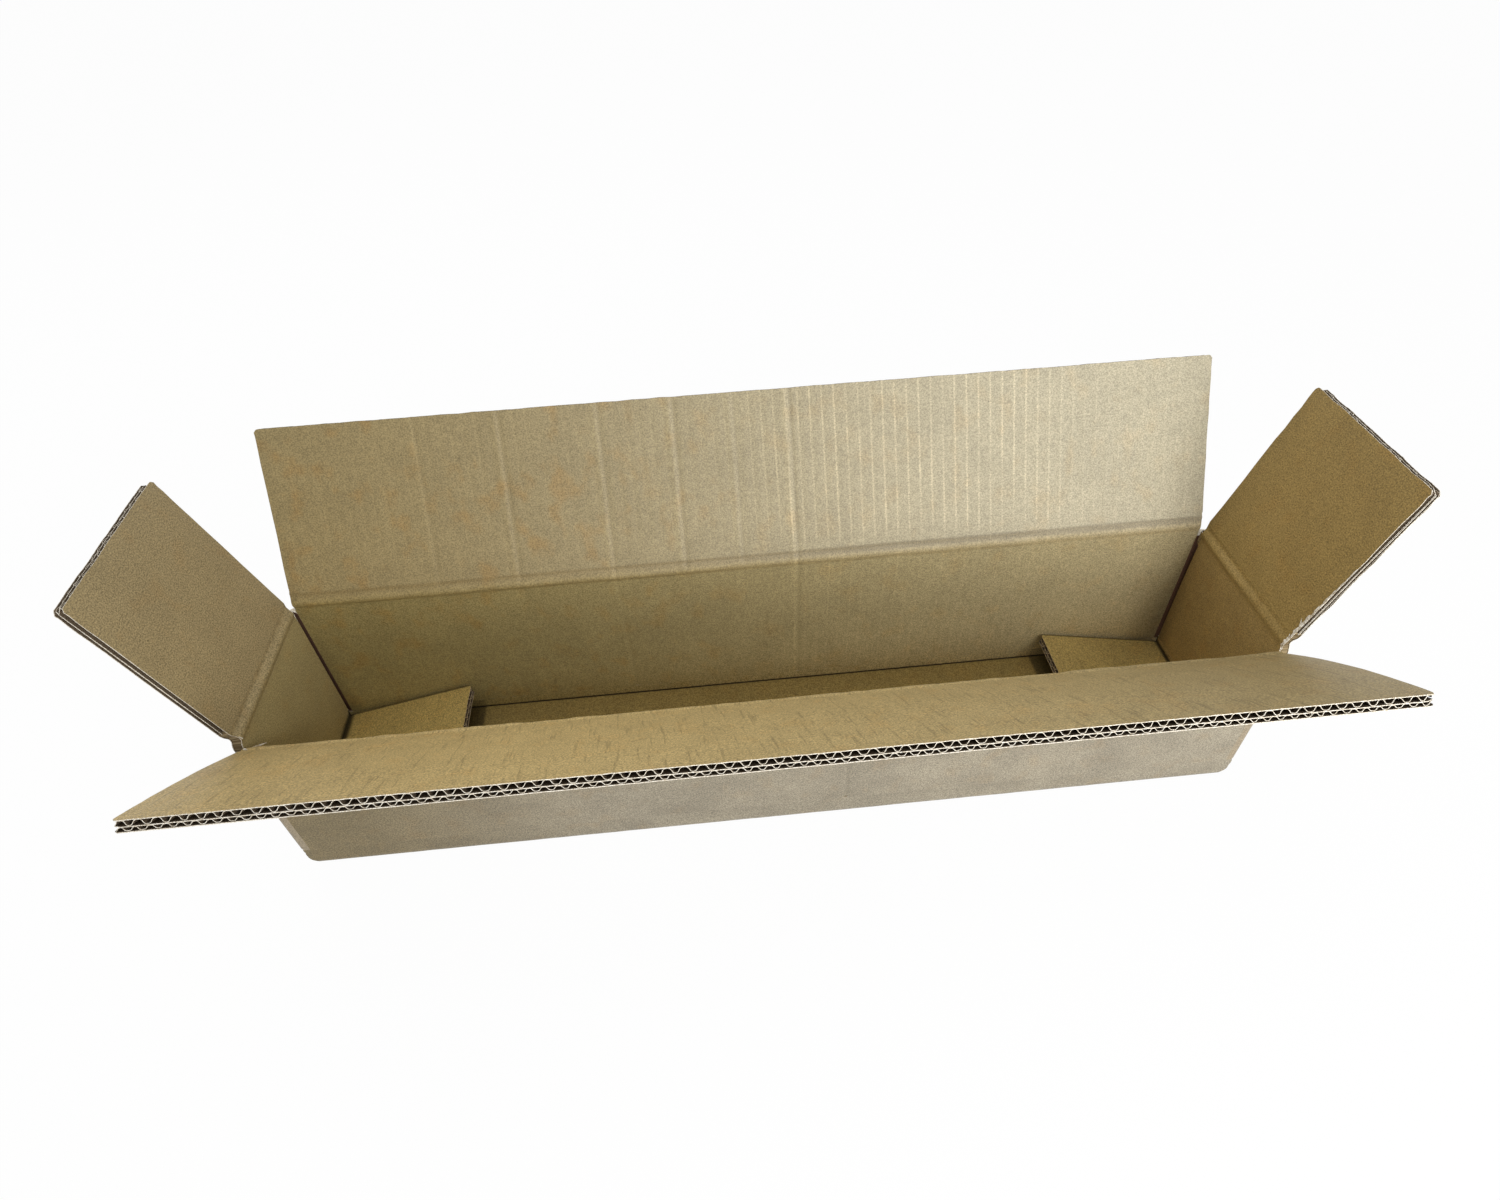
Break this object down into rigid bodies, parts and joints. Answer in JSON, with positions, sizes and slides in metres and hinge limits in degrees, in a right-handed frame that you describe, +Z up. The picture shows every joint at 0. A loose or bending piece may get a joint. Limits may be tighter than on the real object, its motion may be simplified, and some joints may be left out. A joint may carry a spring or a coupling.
{
  "type": "long corrugated shipping box",
  "caption": "Long narrow open-top shipping box of double-wall corrugated cardboard, with hinged top flaps standing open and short bottom flaps partly raised.",
  "frame": {"origin": "middle of the outer bottom face that the box rests on", "axes": "+X along the box to its right end, +Y to the rear wall, +Z up"},
  "size_m": [0.6909, 0.2597, 0.2351],
  "materials": {
    "kraft_board": "matte, uncoated kraft liner"
  },
  "bodies": {
    "box": {"box_body": "kraft_board"},
    "rear_top_flap": {"rear_flap": "kraft_board"},
    "front_top_flap": {"front_flap": "kraft_board"},
    "left_top_flap": {"left_end_flap": "kraft_board"},
    "right_top_flap": {"right_end_flap": "kraft_board"},
    "left_floor_flap": {"left_bottom_flap": "kraft_board"},
    "right_floor_flap": {"right_bottom_flap": "kraft_board"}
  },
  "joints": [
    {"name": "rear_crease", "type": "hinge", "parent": "box", "child": "rear_top_flap", "pos_m": [0, 0.057, 0.1316], "axis": [-1, 0, 0], "range_deg": [-119, 111]},
    {"name": "front_crease", "type": "hinge", "parent": "box", "child": "front_top_flap", "pos_m": [0, -0.057, 0.1192], "axis": [1, 0, 0], "range_deg": [-142.7, 87.3]},
    {"name": "left_end_crease", "type": "hinge", "parent": "box", "child": "left_top_flap", "pos_m": [-0.308, 0, 0.1254], "axis": [0, -1, 0], "range_deg": [-108, 122]},
    {"name": "right_end_crease", "type": "hinge", "parent": "box", "child": "right_top_flap", "pos_m": [0.308, 0, 0.1254], "axis": [0, 1, 0], "range_deg": [-107.3, 122.7]},
    {"name": "left_bottom_crease", "type": "hinge", "parent": "box", "child": "left_floor_flap", "pos_m": [-0.3065, 0, 0.0169], "axis": [0, -1, 0], "range_deg": [-12.6, 52.4]},
    {"name": "right_bottom_crease", "type": "hinge", "parent": "box", "child": "right_floor_flap", "pos_m": [0.3065, 0, 0.0169], "axis": [0, 1, 0], "range_deg": [-11.6, 53.4]}
  ]
}
